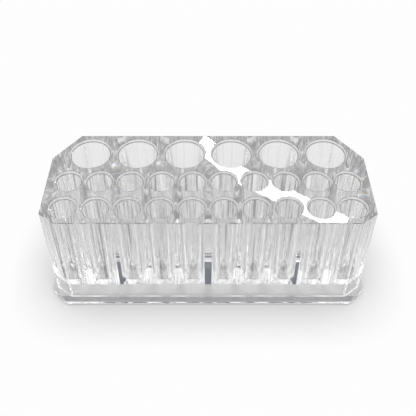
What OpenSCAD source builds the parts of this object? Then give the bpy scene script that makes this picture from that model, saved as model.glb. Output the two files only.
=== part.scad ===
// Brush holder for a vanity: a thick clear block with round wells in three rows,
// bonded to a flanged base plate that stands on four small clear feet.
// Millimetres, +Z up, front towards -Y. Origin under the middle, at the feet's soles.

/* [Block] */
// Width of the block over its side walls
block_w = 214; // [210:1:250]
// Depth of the block, front wall to back wall
block_d = 82; // [81:1:110]
// Height of the block above the base plate
block_h = 79; // [72:1:110]
// Width taken off each back corner
back_cut_w = 17; // [6:0.5:20]
// Depth taken off each back corner
back_cut_d = 23; // [8:0.5:26]
// Width taken off each front corner
front_cut_w = 11; // [4:0.1:13]
// Depth taken off each front corner
front_cut_d = 8.4; // [4:0.1:11]
// Bevel along the block's top edges
rim_break = 0.4; // [0.2:0.1:1]

/* [Small wells] */
// Wells in the front row, and in the middle row
small_count = 10; // [2:1:10]
// Spacing of the small wells along a row
small_pitch = 20.6; // [20.3:0.1:21.2]
// Bore of a small well at its ledge
small_bore_d = 16.4; // [16:0.1:17]
// Bore of a small well at its foot, above the rounded corner
small_foot_d = 15.6; // [14.6:0.1:16]
// Corner radius at the bottom of a small well
small_corner_r = 2; // [0.5:0.1:6.5]
// Depth of the front row's wells
front_depth = 62.7; // [40:0.1:64]
// From the front wall to the front row's centres
front_row_inset = 13.4; // [12.8:0.1:13.8]
// From the front row's centres to the middle row's
row_step = 23.5; // [22.5:0.1:24]

/* [Large wells] */
// Wells in the back row
large_count = 6; // [2:1:6]
// Spacing of the large wells
large_pitch = 32.6; // [31:0.1:33.2]
// Bore of a large well at its ledge
large_bore_d = 26.6; // [25.8:0.1:26.8]
// Bore of a large well at its foot, above the rounded corner
large_foot_d = 25.6; // [24:0.1:25.8]
// Corner radius at the bottom of a large well
large_corner_r = 2; // [0.5:0.1:9]
// From the back wall to the back row's centres
back_row_inset = 18.3; // [17.6:0.1:18.9]

/* [Well shape] */
// How much wider than its bore each well's mouth is, on the radius
step_w = 1.4; // [0.6:0.1:1.6]
// Depth of the wider mouth, down to its ledge
step_h = 1.6; // [0.8:0.1:4]
// How far the mouth's wall leans in on its way down
step_lean = 0.4; // [0.1:0.1:0.5]
// How far the ledge falls from the mouth's wall to the bore
ledge_fall = 0.3; // [0.1:0.1:0.8]
// Floor left under every well
well_floor = 3.3; // [2:0.1:6]

/* [Front hollow] */
// Wall left round the hollow under the front row
skirt_wall = 3.2; // [2:0.1:5]
// Wall left round the middle wells where they stand in the hollow
well_wall = 1.6; // [1:0.1:2]
// From the front wall to the straight back of the hollow
hollow_reach = 32; // [28:0.1:33]
// Radius of the rounds that end the hollow between two middle wells
cusp_r = 2.1; // [1.2:0.05:2.2]

/* [Base plate] */
// Thickness of the base plate
plate_t = 3; // [2:0.1:6]
// How far the plate stands out past the block
flange_w = 4; // [2:0.1:8]
// Width taken off each front corner of the plate, over that of the block
front_more_w = 0.6; // [0:0.1:3]
// Depth taken off each front corner of the plate, over that of the block
front_more_d = 3.1; // [0:0.1:4]
// Width taken off each back corner of the plate, over that of the block
back_more_w = 2; // [0:0.1:4]
// Depth taken off each back corner of the plate, over that of the block
back_more_d = 2.7; // [0:0.1:4]
// Bevel along the plate's edges
plate_break = 0.3; // [0.1:0.1:0.8]

/* [Feet] */
// Diameter of a foot
foot_d = 8; // [5:0.5:12]
// Height of a foot
foot_t = 1; // [0.6:0.1:2.5]
// From the block's side wall to a foot's centre
foot_side_inset = 20; // [16:0.5:40]
// From the block's front or back wall to a foot's centre
foot_end_inset = 20; // [9:0.5:28]

/* [Hidden] */
// overrun of every cut
over = 2;
// bevels on the cut corners, as a share of those on the straight sides
corner_break_share = 1.25;
// levels
plate_z = foot_t;
block_z = plate_z + plate_t;
rim_z = block_z + block_h;
// half sizes and row lines, measured from the block's middle
half_w = block_w / 2;
half_d = block_d / 2;
front_row_y = front_row_inset - half_d;
middle_row_y = front_row_y + row_step;
back_row_y = half_d - back_row_inset;
// well bottoms
front_bottom_z = rim_z - front_depth;
deep_bottom_z = block_z + well_floor;
// hollow
hollow_top_z = front_bottom_z - well_floor;
hollow_back_y = hollow_reach - half_d;

plastic = [0.84, 0.9, 0.95, 0.4];
soft = [0.8, 0.82, 0.84, 0.6];

// eight-sided outline seen from above, anticlockwise, from its half sizes and its corner cuts
function eight_sided(hw, hd, front, back) = [
    [front[0] - hw, -hd],
    [hw - front[0], -hd],
    [hw, front[1] - hd],
    [hw, hd - back[1]],
    [hw - back[0], hd],
    [back[0] - hw, hd],
    [-hw, hd - back[1]],
    [-hw, front[1] - hd]
];

// outward normal of the side from a to b
function side_normal(a, b) = let (e = b - a) [e[1], -e[0]] / norm(e);

// an outline with every side moved outwards by g
function grown(pts, g) = let (n = len(pts)) [for (i = [0:n - 1])
    let (u = side_normal(pts[(i + n - 1) % n], pts[i]), v = side_normal(pts[i], pts[(i + 1) % n]))
    pts[i] + g * (u + v) / (1 + u * v)];

block_outline = eight_sided(half_w, half_d, [front_cut_w, front_cut_d], [back_cut_w, back_cut_d]);
plate_outline = eight_sided(half_w + flange_w, half_d + flange_w,
    [front_cut_w + front_more_w, front_cut_d + front_more_d],
    [back_cut_w + back_more_w, back_cut_d + back_more_d]);

// wedges that bevel the edges round an outline at height z, facing up (dir 1) or down (dir -1)
module edge_wedges(pts, z, side_size, dir) {
    for (i = [0:len(pts) - 1]) {
        a = pts[i];
        e = pts[(i + 1) % len(pts)] - a;
        size = side_size * (i % 2 == 0 ? 1 : corner_break_share);
        translate([a[0], a[1], z])
            rotate([0, 0, atan2(e[1], e[0])])
            translate([-over, 0, 0])
            rotate([90, 0, 90])
            linear_extrude(norm(e) + 2 * over)
            polygon([[size, 0], [-over, -dir * (size + over)], [-over, 0], [-over, dir * over],
                [size + over, dir * over]]);
    }
}

// one well as a solid to cut away: rounded corner, tapered bore, falling ledge, wider mouth
module well(bore_d, foot_d, corner_r, bottom_z) {
    corner_x = foot_d / 2 - corner_r;
    mouth_r = bore_d / 2 + step_w;
    ledge_z = rim_z - step_h;
    bore_z = ledge_z - ledge_fall;
    rotate_extrude($fn = 96)
        union() {
            polygon([
                [0, bottom_z],
                [corner_x, bottom_z],
                [foot_d / 2, bottom_z + corner_r],
                [bore_d / 2, bore_z],
                [mouth_r - step_lean, ledge_z],
                [mouth_r, rim_z],
                [mouth_r, rim_z + over],
                [0, rim_z + over]
            ]);
            intersection() {
                translate([corner_x, bottom_z + corner_r])
                    circle(r = corner_r, $fn = 64);
                translate([corner_x, bottom_z])
                    square(corner_r);
            }
        }
}

// centre of copy i in a row of n, spaced by p
function row_x(i, n, p) = (i - (n - 1) / 2) * p;

module front_wells() {
    for (i = [0:small_count - 1])
        translate([row_x(i, small_count, small_pitch), front_row_y, 0])
            well(small_bore_d, small_foot_d, small_corner_r, front_bottom_z);
}

module middle_wells() {
    for (i = [0:small_count - 1])
        translate([row_x(i, small_count, small_pitch), middle_row_y, 0])
            well(small_bore_d, small_foot_d, small_corner_r, deep_bottom_z);
}

module back_wells() {
    for (i = [0:large_count - 1])
        translate([row_x(i, large_count, large_pitch), back_row_y, 0])
            well(large_bore_d, large_foot_d, large_corner_r, deep_bottom_z);
}

// hollow under the front row, scalloped round the middle wells
module front_hollow() {
    scallop_r = small_foot_d / 2 + well_wall;
    translate([0, 0, block_z - over])
        linear_extrude(hollow_top_z - block_z + over)
        union() {
            difference() {
                intersection() {
                    polygon(grown(block_outline, -skirt_wall));
                    translate([-half_w, -half_d])
                        square([block_w, hollow_reach]);
                }
                for (i = [0:small_count - 1])
                    translate([row_x(i, small_count, small_pitch), middle_row_y])
                        circle(r = scallop_r, $fn = 96);
            }
            for (i = [0:small_count - 2])
                translate([row_x(i, small_count - 1, small_pitch), hollow_back_y])
                    circle(r = cusp_r, $fn = 48);
        }
}

module well_block() {
    color(plastic)
        difference() {
            translate([0, 0, block_z])
                linear_extrude(block_h)
                polygon(block_outline);
            edge_wedges(block_outline, rim_z, rim_break, 1);
            front_wells();
            middle_wells();
            back_wells();
            front_hollow();
        }
}

module base_plate() {
    color(plastic)
        difference() {
            translate([0, 0, plate_z])
                linear_extrude(plate_t)
                polygon(plate_outline);
            edge_wedges(plate_outline, block_z, plate_break, 1);
            edge_wedges(plate_outline, plate_z, plate_break, -1);
        }
}

module foot(side, end) {
    color(soft)
        translate([side * (half_w - foot_side_inset), end * (half_d - foot_end_inset), 0])
            cylinder(h = foot_t, r = foot_d / 2, $fn = 48);
}

module foot_front_left() foot(-1, -1);
module foot_front_right() foot(1, -1);
module foot_back_left() foot(-1, 1);
module foot_back_right() foot(1, 1);

well_block();
base_plate();
foot_front_left();
foot_front_right();
foot_back_left();
foot_back_right();
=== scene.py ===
"""Clear brush holder: looks, floor, light and camera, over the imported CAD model."""
import math
import bpy
import numpy as np
from mathutils import Matrix, Vector
from mathutils.geometry import delaunay_2d_cdt


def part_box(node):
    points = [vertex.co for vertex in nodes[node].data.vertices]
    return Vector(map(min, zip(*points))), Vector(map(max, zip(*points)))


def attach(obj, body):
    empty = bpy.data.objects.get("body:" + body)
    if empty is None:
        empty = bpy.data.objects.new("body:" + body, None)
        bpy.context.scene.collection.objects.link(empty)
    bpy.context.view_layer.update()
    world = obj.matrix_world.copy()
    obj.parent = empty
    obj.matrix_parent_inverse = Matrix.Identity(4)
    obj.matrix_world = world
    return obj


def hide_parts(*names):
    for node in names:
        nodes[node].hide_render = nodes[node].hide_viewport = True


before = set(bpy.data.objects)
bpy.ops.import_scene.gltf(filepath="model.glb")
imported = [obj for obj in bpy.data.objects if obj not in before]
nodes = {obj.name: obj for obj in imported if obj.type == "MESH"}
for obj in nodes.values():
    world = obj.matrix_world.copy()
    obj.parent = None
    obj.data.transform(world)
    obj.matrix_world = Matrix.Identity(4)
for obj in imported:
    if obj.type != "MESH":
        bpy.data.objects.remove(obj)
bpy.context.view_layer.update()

# sizes in metres: half sizes and levels from the solids' boxes, the others equal to the solids' values
MM, TO_MM = 0.001, 1000.0
block_lo, block_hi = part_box("well_block")
plate_lo, plate_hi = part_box("base_plate")
foot_lo, foot_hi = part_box("foot_back_right")
HALF_W, HALF_D = block_hi.x, block_hi.y
RIM_Z, BLOCK_Z, PLATE_Z = block_hi.z, block_lo.z, plate_lo.z
# width and depth taken off the corners
BACK_CUT, PLATE_BACK_CUT = (17 * MM, 23 * MM), (19 * MM, 25.7 * MM)
FRONT_CUT, PLATE_FRONT_CUT = (11 * MM, 8.4 * MM), (11.6 * MM, 11.5 * MM)
# bevels of the rim and the plate, and how much wider the rim's is on a cut corner
RIM_BREAK, PLATE_BREAK, CORNER_SHARE = 0.4 * MM, 0.3 * MM, 1.25
# a well's bore at its ledge and at its foot, and the radius of its corner
SMALL_WELL = (16.4 * MM, 15.6 * MM, 2 * MM)
LARGE_WELL = (26.6 * MM, 25.6 * MM, 2 * MM)
STEP_W, STEP_H, STEP_LEAN, LEDGE_FALL = 1.4 * MM, 1.6 * MM, 0.4 * MM, 0.3 * MM
WELL_FLOOR = 3.3 * MM
FRONT_BOTTOM, DEEP_BOTTOM = RIM_Z - 62.7 * MM, BLOCK_Z + WELL_FLOOR
SMALL_COUNT, SMALL_PITCH = 10, 20.6 * MM
LARGE_COUNT, LARGE_PITCH = 6, 32.6 * MM
FRONT_ROW = 13.4 * MM - HALF_D
MIDDLE_ROW = FRONT_ROW + 23.5 * MM
BACK_ROW = HALF_D - 18.3 * MM
SMALL_SIDES, LARGE_SIDES, CORNER_POINTS = 96, 128, 14
# each row: number of wells, spacing, place along Y, sizes, level of the bottom, points round a ring
ROWS = (
    (SMALL_COUNT, SMALL_PITCH, FRONT_ROW, SMALL_WELL, FRONT_BOTTOM, SMALL_SIDES),
    (SMALL_COUNT, SMALL_PITCH, MIDDLE_ROW, SMALL_WELL, DEEP_BOTTOM, SMALL_SIDES),
    (LARGE_COUNT, LARGE_PITCH, BACK_ROW, LARGE_WELL, DEEP_BOTTOM, LARGE_SIDES))
# hollow under the front row: its outer wall, the wall round a middle well, the rounds between wells
SKIRT_WALL, WELL_WALL, CUSP_R = 3.2 * MM, 1.6 * MM, 2.1 * MM
HOLLOW_TOP, HOLLOW_BACK = FRONT_BOTTOM - WELL_FLOOR, 32 * MM - HALF_D
BAY_POINTS, CUSP_POINTS = 41, 17
SHARP_TURN = math.radians(25)
# the four feet stand alike about the middle
FOOT_AT = ((foot_lo.x + foot_hi.x) / 2, (foot_lo.y + foot_hi.y) / 2)
FOOT_R = (foot_hi.x - foot_lo.x) / 2
# places of the materials in the block's list and in the plate's
WALLS, WELLS, TOP, BOND, MOUTHS, EDGES = range(6)
PLATE_WALLS, PLATE_BOND, PLATE_UNDER = range(3)


# outlines
def eight_sided(w, d, back_cut, front_cut):
    """Eight corners seen from above, anticlockwise: a rectangle, given by its half sizes, with its
    corners cut."""
    (bw, bd), (fw, fd) = back_cut, front_cut
    return np.array([[fw - w, -d], [w - fw, -d], [w, fd - d], [w, d - bd],
                     [w - bw, d], [bw - w, d], [-w, d - bd], [-w, fd - d]])


def block_outline():
    """Outline of the block: its rectangle with the four corners cut."""
    return eight_sided(HALF_W, HALF_D, BACK_CUT, FRONT_CUT)


def cross(a, b):
    """Cross product of plane vectors, row by row."""
    return a[:, 0] * b[:, 1] - a[:, 1] * b[:, 0]


def grown(pts, amounts):
    """The outline with side i moved outwards by amounts[i]: each corner slides to where its two
    moved sides cross."""
    amounts = np.broadcast_to(amounts, len(pts))
    e = np.roll(pts, -1, axis=0) - pts
    n = np.stack([e[:, 1], -e[:, 0]], 1) / np.linalg.norm(e, axis=1)[:, None]
    off = (n * pts).sum(1) + amounts
    a, b, oa, ob = np.roll(n, 1, axis=0), n, np.roll(off, 1), off
    det = cross(a, b)
    return np.stack([(oa * b[:, 1] - ob * a[:, 1]) / det, (ob * a[:, 0] - oa * b[:, 0]) / det], 1)


def corner_turn(path):
    """Turn at each point of a closed path, in radians."""
    a = path - np.roll(path, 1, axis=0)
    b = np.roll(path, -1, axis=0) - path
    return np.arctan2(cross(a, b), (a * b).sum(1))


def inside(points, ring):
    """Which points lie inside a ring: a ray towards +X crosses it an odd number of times."""
    x, y = points[:, 0][:, None], points[:, 1][:, None]
    x0, y0 = ring[:, 0], ring[:, 1]
    x1, y1 = np.roll(x0, -1), np.roll(y0, -1)
    spans = (y0 > y) != (y1 > y)
    with np.errstate(divide="ignore", invalid="ignore"):
        at = x0 + (y - y0) * (x1 - x0) / (y1 - y0)
    return (spans & (x < at)).sum(1) % 2 == 1


def row(count, pitch):
    """Centres along X of a row of wells, spread evenly about the middle."""
    return (np.arange(count) - (count - 1) / 2) * pitch


def arc(cx, cy, r, angles):
    """Points on a circle at the given angles."""
    return np.stack([cx + r * np.cos(angles), cy + r * np.sin(angles)], 1)


def circle(cx, cy, r, n):
    """n points round a circle, anticlockwise."""
    return arc(cx, cy, r, np.arange(n) * 2 * math.pi / n)


def hollow_outline():
    """Outline of the hollow, anticlockwise: the block's outline moved in by the wall, cut straight
    behind the front row, with a bay round each middle well and a round between two wells."""
    inner = grown(block_outline(), -SKIRT_WALL)
    right, left = inner[2], inner[7]
    bay_r = SMALL_WELL[1] / 2 + WELL_WALL
    # a bay starts and ends where its circle crosses the straight back
    reach = math.sqrt(bay_r ** 2 - (MIDDLE_ROW - HOLLOW_BACK) ** 2)
    start = math.acos(reach / bay_r)
    bay = np.linspace(-start, start - math.pi, BAY_POINTS)
    cusp = np.linspace(0, math.pi, CUSP_POINTS)
    parts = [inner[:3], [[right[0], HOLLOW_BACK]]]
    for cx in row(SMALL_COUNT, SMALL_PITCH)[::-1]:
        parts += [arc(cx, MIDDLE_ROW, bay_r, bay), arc(cx - SMALL_PITCH / 2, HOLLOW_BACK, CUSP_R, cusp)]
    # no round follows the last well
    return np.concatenate(parts[:-1] + [[[left[0], HOLLOW_BACK], left]])


# mesh making
class Shell:
    """Collects points and faces of one closed surface. Each face keeps the number of its material and
    of its patch. Edges between two patches are sharp, edges inside a patch are smooth."""

    def __init__(self):
        self.pts, self.faces, self.patch, self.mat, self.count = [], [], [], [], 0

    def add(self, xy, z):
        """Adds points at one height. Returns their numbers."""
        self.pts.append(np.column_stack([xy, np.broadcast_to(z, len(xy))]))
        first = self.count
        self.count += len(xy)
        return np.arange(first, self.count)

    def face(self, points, patch, mat):
        """Adds one face through the numbered points."""
        self.faces.append(points)
        self.patch.append(patch)
        self.mat.append(mat)

    def band(self, low, high, patch, mat=0, inwards=False):
        """Quads between two closed rings of point numbers that run anticlockwise, the low one below.
        They face outwards, or inwards. The patch is one number, or one for each quad."""
        after_low, after_high = np.roll(low, -1), np.roll(high, -1)
        corners = [after_low, low, high, after_high] if inwards else [low, after_low, after_high, high]
        quads = np.stack(corners, 1)
        self.faces += quads.tolist()
        self.patch += np.broadcast_to(patch, len(quads)).tolist()
        self.mat += [mat] * len(quads)

    def flat(self, ring, holes, up, patch, mat=0):
        """A level face inside one ring and outside the holes, as constrained triangles. They are made
        in millimetres, where their tolerance fits."""
        loops = [ring, *holes]
        ids = np.concatenate(loops)
        points = np.concatenate(self.pts)
        xy = points[ids][:, :2]
        starts = np.cumsum([0] + [len(r) for r in loops])
        edges = []
        for a, b in zip(starts, starts[1:]):
            along = np.arange(a, b)
            edges += np.stack([along, np.roll(along, -1)], 1).tolist()
        v, _, tris, orig, _, _ = delaunay_2d_cdt((xy * TO_MM).tolist(), edges, [], 0, 1e-7)
        v = np.array([tuple(p) for p in v]) / TO_MM
        first = np.array([o[0] if o else -1 for o in orig])
        tris = np.array(tris)
        middle = v[tris].mean(1)
        keep = inside(middle, xy[:len(ring)])
        for a, b in zip(starts[1:], starts[2:]):
            keep &= ~inside(middle, xy[a:b])
        t = ids[first[tris[keep]]]
        p = points[t][:, :, :2]
        wrong = (cross(p[:, 1] - p[:, 0], p[:, 2] - p[:, 0]) > 0) != up
        t[wrong] = t[wrong][:, ::-1]
        self.faces += t.tolist()
        self.patch += [patch] * len(t)
        self.mat += [mat] * len(t)

    def build(self, name, materials):
        """The mesh object. An edge is sharp where the lowest and the highest patch at it differ."""
        mesh = bpy.data.meshes.new(name)
        mesh.from_pydata(np.concatenate(self.pts).tolist(), [], self.faces)
        mesh.update(calc_edges=True)
        mesh.polygons.foreach_set("use_smooth", np.ones(len(self.faces), bool))
        mesh.polygons.foreach_set("material_index", np.array(self.mat, np.int32))
        loops = np.zeros(len(mesh.loops), np.int32)
        mesh.loops.foreach_get("edge_index", loops)
        owner = np.repeat(np.array(self.patch), [len(f) for f in self.faces])
        low = np.full(len(mesh.edges), owner.max())
        high = np.full(len(mesh.edges), owner.min())
        np.minimum.at(low, loops, owner)
        np.maximum.at(high, loops, owner)
        sharp = mesh.attributes.new("sharp_edge", "BOOLEAN", "EDGE")
        sharp.data.foreach_set("value", low != high)
        for m in materials:
            mesh.materials.append(m)
        return show(name, mesh)


def show(name, data):
    """An object for a mesh, a lamp or a camera, put into the scene."""
    obj = bpy.data.objects.new(name, data)
    bpy.context.scene.collection.objects.link(obj)
    return obj


def well_profile(sizes, bottom):
    """Radius and height down a well: the mouth's leaning wall, the falling ledge, the tapered bore and
    a quarter round down to the floor."""
    bore_d, foot_d, corner_r = sizes
    t = np.linspace(0, math.pi / 2, CORNER_POINTS)
    arc_r = foot_d / 2 - corner_r + corner_r * np.cos(t)
    arc_z = bottom + corner_r - corner_r * np.sin(t)
    mouth_r = bore_d / 2 + STEP_W
    r = np.concatenate([[mouth_r, mouth_r - STEP_LEAN, bore_d / 2], arc_r])
    z = np.concatenate([[RIM_Z, RIM_Z - STEP_H, RIM_Z - STEP_H - LEDGE_FALL], arc_z])
    return r, z


def add_well(shell, cx, cy, sizes, bottom, sides, patch):
    """One well as rings of points down its profile: the mouth's wall and the ledge as a patch each, the
    bore and the bottom as a third. Returns the ring at the mouth."""
    rings = [shell.add(circle(cx, cy, r, sides), z) for r, z in zip(*well_profile(sizes, bottom))]
    for k, (upper, lower) in enumerate(zip(rings, rings[1:])):
        shell.band(upper, lower, patch + min(k, 2), mat=MOUTHS if k < 2 else WELLS)
    shell.flat(rings[-1], [], True, patch + 2, mat=WELLS)
    return rings[0]


def make_block(materials):
    """The thick clear block: cut-corner outline, bevelled rim, wells open at the top, hollow below."""
    wall_patch, bevel_patch, well_patch, hollow_patch = 10, 30, 100, 2000
    s = Shell()
    out = block_outline()
    share = np.where(np.arange(8) % 2 == 0, 1, CORNER_SHARE)
    foot = s.add(out, BLOCK_Z)
    # straight sides and cut corners differ in bevel, so a corner has two points on the wall's edge
    top = s.add(grown(out, -RIM_BREAK * share), RIM_Z)
    small = s.add(out, RIM_Z - RIM_BREAK)
    large = s.add(out, RIM_Z - RIM_BREAK * CORNER_SHARE)
    for i in range(8):
        j = (i + 1) % 8
        if i % 2 == 0:
            wall = [foot[i], foot[j], large[j], small[j], small[i], large[i]]
            bevel = [small[i], small[j], top[j], top[i]]
        else:
            wall = [foot[i], foot[j], large[j], large[i]]
            bevel = [large[i], large[j], small[j], top[j], top[i], small[i]]
        s.face(wall, wall_patch + i, WALLS)
        s.face(bevel, bevel_patch + i, EDGES)
    mouths = []
    for count, pitch, y, sizes, bottom, sides in ROWS:
        for cx in row(count, pitch):
            mouths.append(add_well(s, cx, y, sizes, bottom, sides, well_patch + 3 * len(mouths)))
    s.flat(top, mouths, True, 1, mat=TOP)
    # the hollow's wall faces inwards, and is smooth but for its sharp turns
    hollow = hollow_outline()
    low, high = s.add(hollow, BLOCK_Z), s.add(hollow, HOLLOW_TOP)
    run = hollow_patch + np.cumsum(np.abs(corner_turn(hollow)) > SHARP_TURN)
    s.band(low, high, run, mat=WALLS, inwards=True)
    s.flat(high, [], False, 2, mat=WALLS)
    s.flat(foot, [low], False, 3, mat=BOND)
    return s.build("well_block_clear", materials)


def make_plate(materials):
    """The flanged plate: wider than the block all round, with its edges bevelled. Under the block its
    top is a bonded face; in the hollow and on the ledge it is bare."""
    s = Shell()
    out = eight_sided(plate_hi.x, plate_hi.y, PLATE_BACK_CUT, PLATE_FRONT_CUT)
    inset = grown(out, -PLATE_BREAK)
    rings = [s.add(inset, PLATE_Z), s.add(out, PLATE_Z + PLATE_BREAK),
             s.add(out, BLOCK_Z - PLATE_BREAK), s.add(inset, BLOCK_Z)]
    for k, (lower, upper) in enumerate(zip(rings, rings[1:])):
        s.band(lower, upper, 10 + 10 * k + np.arange(8), mat=PLATE_WALLS)
    s.flat(rings[0], [], False, 1, mat=PLATE_UNDER)
    seat = s.add(block_outline(), BLOCK_Z)
    hollow = s.add(hollow_outline(), BLOCK_Z)
    s.flat(rings[3], [seat], True, 2, mat=PLATE_WALLS)
    s.flat(seat, [hollow], True, 3, mat=PLATE_BOND)
    s.flat(hollow, [], True, 4, mat=PLATE_WALLS)
    return s.build("base_plate_clear", materials)


# shader nodes
NUMBER, COLOUR = "NodeSocketFloat", "NodeSocketColor"
WHITE = (1, 1, 1, 1)


def feed(tree, value, socket):
    """Gives a node's input a number, a colour or another node's output."""
    if isinstance(value, (int, float, tuple)):
        socket.default_value = value
    else:
        tree.links.new(value, socket)


def calc(tree, what, *values):
    """A math node on sockets or plain numbers. Returns its result socket."""
    n = tree.nodes.new("ShaderNodeMath")
    n.operation = what
    for value, socket in zip(values, n.inputs):
        feed(tree, value, socket)
    return n.outputs[0]


def distance(tree, a, b):
    """Square root of the sum of two squares."""
    squares = [calc(tree, "MULTIPLY", v, v) for v in (a, b)]
    return calc(tree, "SQRT", calc(tree, "ADD", *squares))


def ramp(tree, value, stops, kind="LINEAR"):
    """A colour ramp through (position, colour) stops, a number standing for a grey. Returns its colour
    socket."""
    n = tree.nodes.new("ShaderNodeValToRGB")
    n.color_ramp.interpolation = kind
    e = n.color_ramp.elements
    while len(e) < len(stops):
        e.new(0.5)
    for item, (at, c) in zip(e, stops):
        item.position = at
        item.color = (*(c if isinstance(c, tuple) else (c, c, c)), 1)
    feed(tree, value, n.inputs[0])
    return n.outputs[0]


def blend(tree, factor, a, b, kind="MIX"):
    """Mixed colour: a where the factor is 0, b where it is 1, or b applied to a as the kind says."""
    n = tree.nodes.new("ShaderNodeMix")
    n.data_type, n.blend_type = "RGBA", kind
    # a Mix node's colours are its inputs 6 and 7 and its output 2
    for value, i in ((factor, 0), (a, 6), (b, 7)):
        feed(tree, value, n.inputs[i])
    return n.outputs[2]


def vector(tree, x, y, z):
    """A vector from its three parts."""
    n = tree.nodes.new("ShaderNodeCombineXYZ")
    for value, socket in zip((x, y, z), n.inputs):
        feed(tree, value, socket)
    return n.outputs[0]


def split_place(tree, kind="Object"):
    """X, Y and Z of a texture coordinate, which is the place on the piece in metres."""
    coord = tree.nodes.new("ShaderNodeTexCoord")
    xyz = tree.nodes.new("ShaderNodeSeparateXYZ")
    feed(tree, coord.outputs[kind], xyz.inputs[0])
    return tuple(xyz.outputs)


def noise_at(tree, place, scale, detail, distortion=0):
    """Noise at a place. Returns its value."""
    n = tree.nodes.new("ShaderNodeTexNoise")
    for label, value in (("Vector", place), ("Scale", scale), ("Detail", detail),
                         ("Distortion", distortion)):
        feed(tree, value, n.inputs[label])
    return n.outputs[0]


def new_group(name, inputs, outputs):
    """A node group with named number inputs and with outputs of the kinds given. Returns it, the
    sockets that its inputs arrive at, and those that its outputs leave from."""
    g = bpy.data.node_groups.new(name, "ShaderNodeTree")
    for label in inputs:
        g.interface.new_socket(label, in_out="INPUT", socket_type=NUMBER)
    for label, kind in outputs.items():
        g.interface.new_socket(label, in_out="OUTPUT", socket_type=kind)
    arrive = g.nodes.new("NodeGroupInput").outputs if inputs else None
    return g, arrive, g.nodes.new("NodeGroupOutput").inputs


def group_in(tree, group, **values):
    """A group placed in a tree with its inputs fed. Returns its outputs."""
    n = tree.nodes.new("ShaderNodeGroup")
    n.node_tree = group
    for label, value in values.items():
        feed(tree, value, n.inputs[label])
    return n.outputs


# groups that the plastic's materials use
def moulded_waves():
    """Height of the faint waves that moulding leaves: noise at a given scale."""
    g, arrive, leave = new_group("moulded waves", ("Scale",), {"Height": NUMBER})
    feed(g, noise_at(g, vector(g, *split_place(g)), arrive["Scale"], 2), leave["Height"])
    return g


def draw_marks_and_painted_streaks():
    """Tone and height of upright marks on a well's wall: fine noise drawn out along Z, clear where it
    is high. The height is the marks' relief; the dark streaks of the tone are painted shade, for the
    streaks that light refracted through the wells draws. They fade from 5 to 7.5 mm behind the middle,
    and are faint in the large wells."""
    g, _, leave = new_group("draw marks and painted streaks", (), {"Tone": COLOUR, "Height": NUMBER})
    x, y, z = split_place(g)
    grain = noise_at(g, vector(g, x, y, calc(g, "DIVIDE", z, 60)), 650, 4)
    marks = ramp(g, grain, [(0.37, 0.25), (0.43, 0.88), (0.47, 1)])
    strength = ramp(g, calc(g, "MULTIPLY", y, 40), [(0.2, 1), (0.3, 0.15)])
    feed(g, blend(g, strength, WHITE, marks), leave["Tone"])
    feed(g, calc(g, "MULTIPLY", grain, strength), leave["Height"])
    return g


def bond_line():
    """Roughness of the outer walls and the hollow's: polished, but for a dull line just above the
    joint, which stops short of the cut front corners."""
    middle, half, dull = BLOCK_Z + 1.05 * MM, 0.98 * MM, 0.35
    g, _, leave = new_group("bond line", (), {"Roughness": NUMBER})
    x, _, z = split_place(g)
    low = calc(g, "LESS_THAN", calc(g, "ABSOLUTE", calc(g, "SUBTRACT", z, middle)), half)
    between = calc(g, "LESS_THAN", calc(g, "ABSOLUTE", x), HALF_W - FRONT_CUT[0])
    feed(g, calc(g, "MULTIPLY", calc(g, "MULTIPLY", low, dull), between), leave["Roughness"])
    return g


def painted_edge_dashes():
    """Tone along the rim's fine bevel: dark dashes in the clear, from noise along the edge. The dashes
    are painted shade, for the dark lines that light draws along a clear edge.
    """
    g, _, leave = new_group("painted edge dashes", (), {"Tone": COLOUR})
    grain = noise_at(g, vector(g, *split_place(g)), 260, 1)
    feed(g, ramp(g, grain, [(0.42, 0.12), (0.58, 0.35), (0.66, 1)]), leave["Tone"])
    return g


def painted_edge_lines():
    """Tone down a well's mouth, by the share of its depth: clear, but for a thin dark line where its
    wall meets the top face and another where the ledge meets the bore. The lines are painted shade,
    for the dark outlines that light draws at these edges in clear plastic."""
    g, _, leave = new_group("painted edge lines", (), {"Tone": COLOUR})
    _, _, z = split_place(g)
    down = calc(g, "DIVIDE", calc(g, "SUBTRACT", RIM_Z, z), STEP_H + LEDGE_FALL)
    feed(g, ramp(g, down, [(0, 0), (0.12, 0.3), (0.26, 1), (0.86, 1), (0.96, 0.3)]), leave["Tone"])
    return g


def foot_contact():
    """Opacity of the faces where a foot touches the plate: nothing inside the contact circles at the
    level of the plate's underside. Two clear faces in one plane would show as a dark disc."""
    near = 0.02 * MM
    g, _, leave = new_group("foot contact", (), {"Opacity": NUMBER})
    x, y, z = split_place(g)
    off = [calc(g, "SUBTRACT", calc(g, "ABSOLUTE", v), at) for v, at in zip((x, y), FOOT_AT)]
    level = calc(g, "LESS_THAN", calc(g, "ABSOLUTE", calc(g, "SUBTRACT", z, PLATE_Z)), near)
    touch = calc(g, "MULTIPLY", calc(g, "LESS_THAN", distance(g, *off), FOOT_R), level)
    feed(g, calc(g, "SUBTRACT", 1, touch), leave["Opacity"])
    return g


# materials
WAVES, CONTACT = moulded_waves(), foot_contact()
RIGID_IOR, SOFT_IOR = 1.57, 1.43


def material(name):
    """A named node material. Returns it, its tree and the inputs of its Principled shader."""
    m = bpy.data.materials.new(name)
    m.use_nodes = True
    return m, m.node_tree, m.node_tree.nodes["Principled BSDF"].inputs


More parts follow.
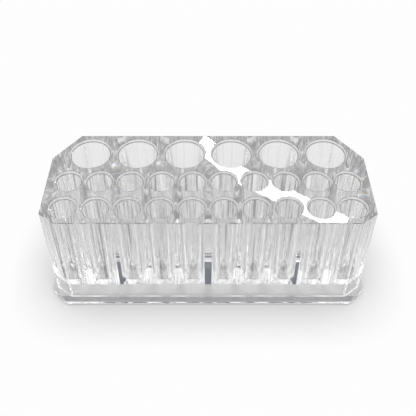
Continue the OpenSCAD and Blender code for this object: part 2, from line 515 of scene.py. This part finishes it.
def clear_plastic(name, depth, waves=None, tone=None, rough=0, clear=1):
    """Clear rigid plastic. Its bump, of a depth in metres, is moulded waves at a scale, or else the
    height of the tone group, whose tone also colours it. The roughness is a number or a group."""
    m, tree, put = material(name)
    put["IOR"].default_value = RIGID_IOR
    put["Transmission Weight"].default_value = clear
    feed(tree, rough if isinstance(rough, (int, float)) else group_in(tree, rough)[0], put["Roughness"])
    tones = group_in(tree, tone) if tone else None
    feed(tree, tones["Tone"] if tone else WHITE, put["Base Color"])
    bump = tree.nodes.new("ShaderNodeBump")
    bump.inputs["Distance"].default_value = depth
    height = group_in(tree, WAVES, Scale=waves)["Height"] if waves else tones["Height"]
    feed(tree, height, bump.inputs["Height"])
    feed(tree, bump.outputs[0], put["Normal"])
    return m


def underside():
    """The plate's bottom: a little less polished, and open where a foot touches it."""
    m = clear_plastic("satin underside", 1e-6, waves=120, rough=0.03)
    tree = m.node_tree
    feed(tree, group_in(tree, CONTACT)["Opacity"], tree.nodes["Principled BSDF"].inputs["Alpha"])
    return m


def bonded_face():
    """The joint between block and plate: clear through, so the two read as one body there."""
    m, _, put = material("bonded face")
    put["Base Color"].default_value = WHITE
    put["Alpha"].default_value = 0
    return m


def foot_material():
    """Clear soft plastic, open where the foot touches the plate."""
    m, tree, put = material("clear soft foot")
    put["Base Color"].default_value = (0.98, 0.985, 0.99, 1)
    put["Roughness"].default_value = 0.05
    put["IOR"].default_value = SOFT_IOR
    put["Transmission Weight"].default_value = 1
    feed(tree, group_in(tree, CONTACT)["Opacity"], put["Alpha"])
    return m


walls = clear_plastic("clear outer walls", 4e-6, waves=60, rough=bond_line())
# the well walls' tone holds painted shade: dark streaks for light refracted through the wells
wells = clear_plastic("clear well walls", 2.5e-5, tone=draw_marks_and_painted_streaks())
# the mouths pass only 0.55 of the light and are white for the rest: a painted sheen that lightens their
# rings, with painted dark lines at their edges
mouths = clear_plastic("well mouths with painted sheen", 1e-6, waves=120, tone=painted_edge_lines(), rough=0.02, clear=0.55)
# the rim's bevel carries painted shade: dark dashes along the edge
edges = clear_plastic("clear rim edges", 1e-6, waves=120, tone=painted_edge_dashes())
under = underside()
top = clear_plastic("clear top face", 1e-5, waves=50)
bond = bonded_face()
block = make_block([walls, wells, top, bond, mouths, edges])
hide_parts("well_block")
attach(block, "root")
plate = make_plate([walls, bond, under])
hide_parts("base_plate")
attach(plate, "root")
soft = foot_material()
for name in ("foot_front_left", "foot_front_right", "foot_back_left", "foot_back_right"):
    foot = nodes[name]
    foot.data.materials.clear()
    foot.data.materials.append(soft)

# floor and light. The levels of the paper and the panels come from a fit that brought the render's
# tones near the photograph's. They were then rounded and changed.

# for each row of wells: the paper inside a well, at its wall and under the solid between two
ROW_LIGHT = ((0.62, 0.58, 0.54), (0.70, 0.50, 0.30), (0.66, 0.48, 0.36))
# the paper under the plate's front and back edges, and how far in from the block's walls that starts
FLANGE_LIGHT, FLANGE_IN = (0.33, 0.33, 0.34, 1), 2.6 * MM
FLOOR_HALF = 6.0
# the paper lies a hair below the soles, so that no two faces lie in one plane
FLOOR_DROP = 5e-5
# how near the object the paper's soft shadow starts
SHADOW_REACH, SHADOW_SAMPLES = 0.04, 16
# the studio's panels: their upper edge in degrees above the horizon, and their brightness in eight
# directions, anticlockwise seen from above: right, back right, back, back left, left, front left,
# front, front right
PANELS = (
    (12, (0.75, 0.8, 0.78, 0.76, 0.77, 0.79, 0.79, 0.77)),
    (25, (0.77, 0.79, 0.95, 0.95, 0.80, 0.9, 0.9, 0.78)),
    (38, (0.9, 1.1, 0.9, 0.9, 0.9, 1.1, 1.3, 0.9)),
    (50, (1.1, 1.2, 0.6, 1.4, 1.1, 1.6, 1.8, 1.8)),
    (62, (1.0, 0.7, (0.12, 0.13, 0.16), 1.1, 1.1, 1.2, 1.6, 1.6)),
    (76, (0.4, 0.2, 0.15, 0.2, 0.4, 0.82, 0.82, 0.82)),
    (90, (0.82,) * 8))
# the bent tube: its bends as seen from the object, in degrees from straight back and above level
TUBE_BENDS = ((-1.2, 41.6), (4.2, 44.9), (21.5, 48.4))
TUBE_REACH, TUBE_WIDTH, TUBE_GLOW = 2.5, 0.08, 15


def under_light(g, x, y):
    """Light on the paper under the object: a ramp by the distance from the nearest well's centre in
    each row, the rows joined by the place along Y, and the plate's edges past them."""
    rows = []
    for (count, pitch, middle, (_, foot_d, _), _, _), (well, edge, solid) in zip(ROWS, ROW_LIGHT):
        # 100 more turns keep the share of a pitch positive
        share = calc(g, "FRACT", calc(g, "ADD", calc(g, "DIVIDE", x, pitch), 100 + count / 2))
        along = calc(g, "MULTIPLY", calc(g, "SUBTRACT", share, 0.5), pitch)
        reach = distance(g, along, calc(g, "SUBTRACT", y, middle))
        rows.append(ramp(g, calc(g, "DIVIDE", reach, foot_d), [
            (0.42, well), (0.46, edge), (0.55, edge), (0.62, solid)]))
    back_share = calc(g, "DIVIDE", calc(g, "ADD", y, HALF_D), 2 * HALF_D)
    light = blend(g, ramp(g, back_share, [(0.29, 0), (0.33, 1)]), rows[0], rows[1])
    light = blend(g, ramp(g, back_share, [(0.57, 0), (0.61, 1)]), light, rows[2])
    flange = calc(g, "GREATER_THAN", calc(g, "ABSOLUTE", y), HALF_D - FLANGE_IN)
    return blend(g, flange, light, FLANGE_LIGHT)


def table_light():
    """Light on the white paper, as seen through the plastic, by place in metres. Under the block it is
    grey and lighter under each well. Past the plate a ramp of its own to the back, ahead and beside
    follows the distance, which reads 1 at 200 mm."""
    g, arrive, leave = new_group("light on the table", ("X", "Y"), {"Light": COLOUR})
    x, y = arrive["X"], arrive["Y"]
    gaps = [calc(g, "MAXIMUM", calc(g, "SUBTRACT", calc(g, "ABSOLUTE", v), half), 0)
            for v, half in ((x, plate_hi.x), (y, plate_hi.y))]
    away = calc(g, "MULTIPLY", distance(g, *gaps), 5)
    back = ramp(g, away, [(0, 0.5), (0.14, 0.62), (0.2, 0.8), (0.6, 0.88), (1, 1)])
    ahead = ramp(g, away, [(0, 0.5), (0.14, 0.7), (0.3, 0.6), (0.6, 0.8), (1, 1)])
    beside = ramp(g, away, [(0, 0.7), (0.14, 0.8), (0.3, 0.6), (0.6, 0.7), (1, 0.9)])
    # beside turns into back, and into ahead, between 40 and 60 mm from the middle
    past = blend(g, ramp(g, calc(g, "MULTIPLY", y, 10), [(0.4, 0), (0.6, 1)]), beside, back)
    past = blend(g, ramp(g, calc(g, "MULTIPLY", y, -10), [(0.4, 0), (0.6, 1)]), past, ahead)
    feed(g, blend(g, calc(g, "GREATER_THAN", away, 0), under_light(g, x, y), past), leave["Light"])
    return g


def light_web(tree, x, y):
    """Web of light on the paper: thin bright lines where noise is near its middle, a tenth power of
    how near, with red, green and blue a little apart. It is laid under the solid back part only."""
    apart = 0.0003
    web = tree.nodes.new("ShaderNodeCombineColor")
    for socket, shift in zip(web.inputs, (-apart, 0, apart)):
        grain = noise_at(tree, vector(tree, x, calc(tree, "ADD", y, shift), 0), 90, 1, distortion=0.6)
        off = calc(tree, "ABSOLUTE", calc(tree, "SUBTRACT", calc(tree, "MULTIPLY", grain, 4), 2))
        line = calc(tree, "POWER", calc(tree, "MAXIMUM", calc(tree, "SUBTRACT", 1, off), 0), 10)
        feed(tree, calc(tree, "ADD", calc(tree, "MULTIPLY", line, 0.8), 0.92), socket)
    inside_x = ramp(tree, calc(tree, "DIVIDE", calc(tree, "ABSOLUTE", x), HALF_W), [(0.97, 1), (1, 0)])
    inside_y = ramp(tree, calc(tree, "DIVIDE", y, HALF_D), [(0, 0), (0.1, 1), (0.97, 1), (1, 0)])
    return blend(tree, calc(tree, "MULTIPLY", inside_x, inside_y), WHITE, web.outputs[0])


def make_floor():
    """A level sheet of white paper. The eye sees its white with the soft shadow near the object. Through
    the plastic it shows the light on the table, with a faint web of light under the solid part."""
    h = FLOOR_HALF
    mesh = bpy.data.meshes.new("floor")
    mesh.from_pydata([(x, y, -FLOOR_DROP) for x, y in ((-h, -h), (h, -h), (h, h), (-h, h))], [],
                     [(0, 1, 2, 3)])
    m = bpy.data.materials.new("white paper")
    m.use_nodes = True
    tree = m.node_tree
    tree.nodes.clear()
    out = tree.nodes.new("ShaderNodeOutputMaterial")
    glow = tree.nodes.new("ShaderNodeEmission")
    ao = tree.nodes.new("ShaderNodeAmbientOcclusion")
    ao.inputs["Distance"].default_value = SHADOW_REACH
    ao.samples = SHADOW_SAMPLES
    shade = ramp(tree, ao.outputs["AO"], [(0, 0.25), (1, 0.985)])
    x, y, _ = split_place(tree)
    table = group_in(tree, table_light(), X=x, Y=y)["Light"]
    through = blend(tree, 1, table, light_web(tree, x, y), kind="MULTIPLY")
    eye = tree.nodes.new("ShaderNodeLightPath")
    feed(tree, blend(tree, eye.outputs["Is Camera Ray"], through, shade), glow.inputs["Color"])
    feed(tree, glow.outputs[0], out.inputs[0])
    mesh.materials.append(m)
    show("floor", mesh)


def make_world():
    """The studio as a colour for each direction: the panels' rings, one above the other. The eye sees
    plain white past the object."""
    w = bpy.data.worlds.new("studio")
    bpy.context.scene.world = w
    w.use_nodes = True
    tree = w.node_tree
    tree.nodes.clear()
    out = tree.nodes.new("ShaderNodeOutputWorld")
    bg = tree.nodes.new("ShaderNodeBackground")
    x, y, z = split_place(tree, "Generated")
    high = calc(tree, "MULTIPLY", calc(tree, "ARCSINE", z), 180 / math.pi)
    # turn about the upright axis as a share of a full turn, counted from half a panel before the right
    around = calc(tree, "DIVIDE", calc(tree, "ARCTAN2", y, x), 2 * math.pi)
    turn = calc(tree, "FRACT", calc(tree, "ADD", around, 1 + 1 / 16))
    light, lower_edge = None, 0
    for edge, values in PANELS:
        ring = ramp(tree, turn, [(k / len(values), c) for k, c in enumerate(values)], "CONSTANT")
        light = ring if light is None else \
            blend(tree, calc(tree, "GREATER_THAN", high, lower_edge), light, ring)
        lower_edge = edge
    eye = tree.nodes.new("ShaderNodeLightPath")
    feed(tree, blend(tree, eye.outputs["Is Camera Ray"], light, WHITE), bg.inputs["Color"])
    feed(tree, bg.outputs[0], out.inputs[0])


def make_tube():
    """A narrow bright tube high behind the object, bent once, whose reflection lies as a band across
    the top face: two flat lamps, end to end, that face the object. It shows in mirroring only, and
    neither lights matt surfaces nor is seen through the plastic."""
    bends = []
    for azimuth, height in TUBE_BENDS:
        a, e = math.radians(azimuth), math.radians(height)
        way = Vector((math.sin(a) * math.cos(e), math.cos(a) * math.cos(e), math.sin(e)))
        bends.append(way * TUBE_REACH)
    for i, (start, end) in enumerate(zip(bends, bends[1:])):
        lamp = bpy.data.lights.new("tube lamp %d" % (i + 1), "AREA")
        lamp.shape = "RECTANGLE"
        lamp.size, lamp.size_y = (end - start).length, TUBE_WIDTH
        lamp.energy = TUBE_GLOW * math.pi * lamp.size * lamp.size_y
        obj = show(lamp.name, lamp)
        middle, along = (start + end) / 2, (end - start).normalized()
        facing = (middle - along * middle.dot(along)).normalized()
        turn = Matrix((along, facing.cross(along), facing)).transposed()
        obj.matrix_world = Matrix.Translation(middle + Vector((0, 0, RIM_Z))) @ turn.to_4x4()
        obj.visible_diffuse = False
        obj.visible_transmission = False


def make_camera():
    """The photograph's eye, in pixels of its square frame: the focal length and the centre of view. It
    stands ahead of the object and above it, and looks down by 42.94 degrees."""
    frame_px, focal_px, centre_px = 416, 639.63, (208.14, 150.0)
    ahead, above, look_down = 300.36 * MM, 385.59 * MM, 0.7494
    cam = bpy.data.cameras.new("camera")
    obj = show("camera", cam)
    cam.sensor_width = 36
    cam.lens = focal_px / frame_px * cam.sensor_width
    cam.shift_x = (frame_px / 2 - centre_px[0]) / frame_px
    cam.shift_y = (centre_px[1] - frame_px / 2) / frame_px
    cam.clip_start = 0.01
    obj.location = (0, -ahead, above + PLATE_Z)
    obj.rotation_euler = (math.pi / 2 - look_down, 0, 0)
    bpy.context.scene.camera = obj


make_floor()
make_world()
make_tube()
make_camera()
scene = bpy.context.scene
scene.view_settings.view_transform = "Standard"
# light crosses many walls of clear plastic on its way through
BOUNCES = 40
cycles = scene.cycles
cycles.max_bounces = cycles.transmission_bounces = cycles.glossy_bounces = BOUNCES
cycles.transparent_max_bounces = BOUNCES
cycles.caustics_reflective = cycles.caustics_refractive = True
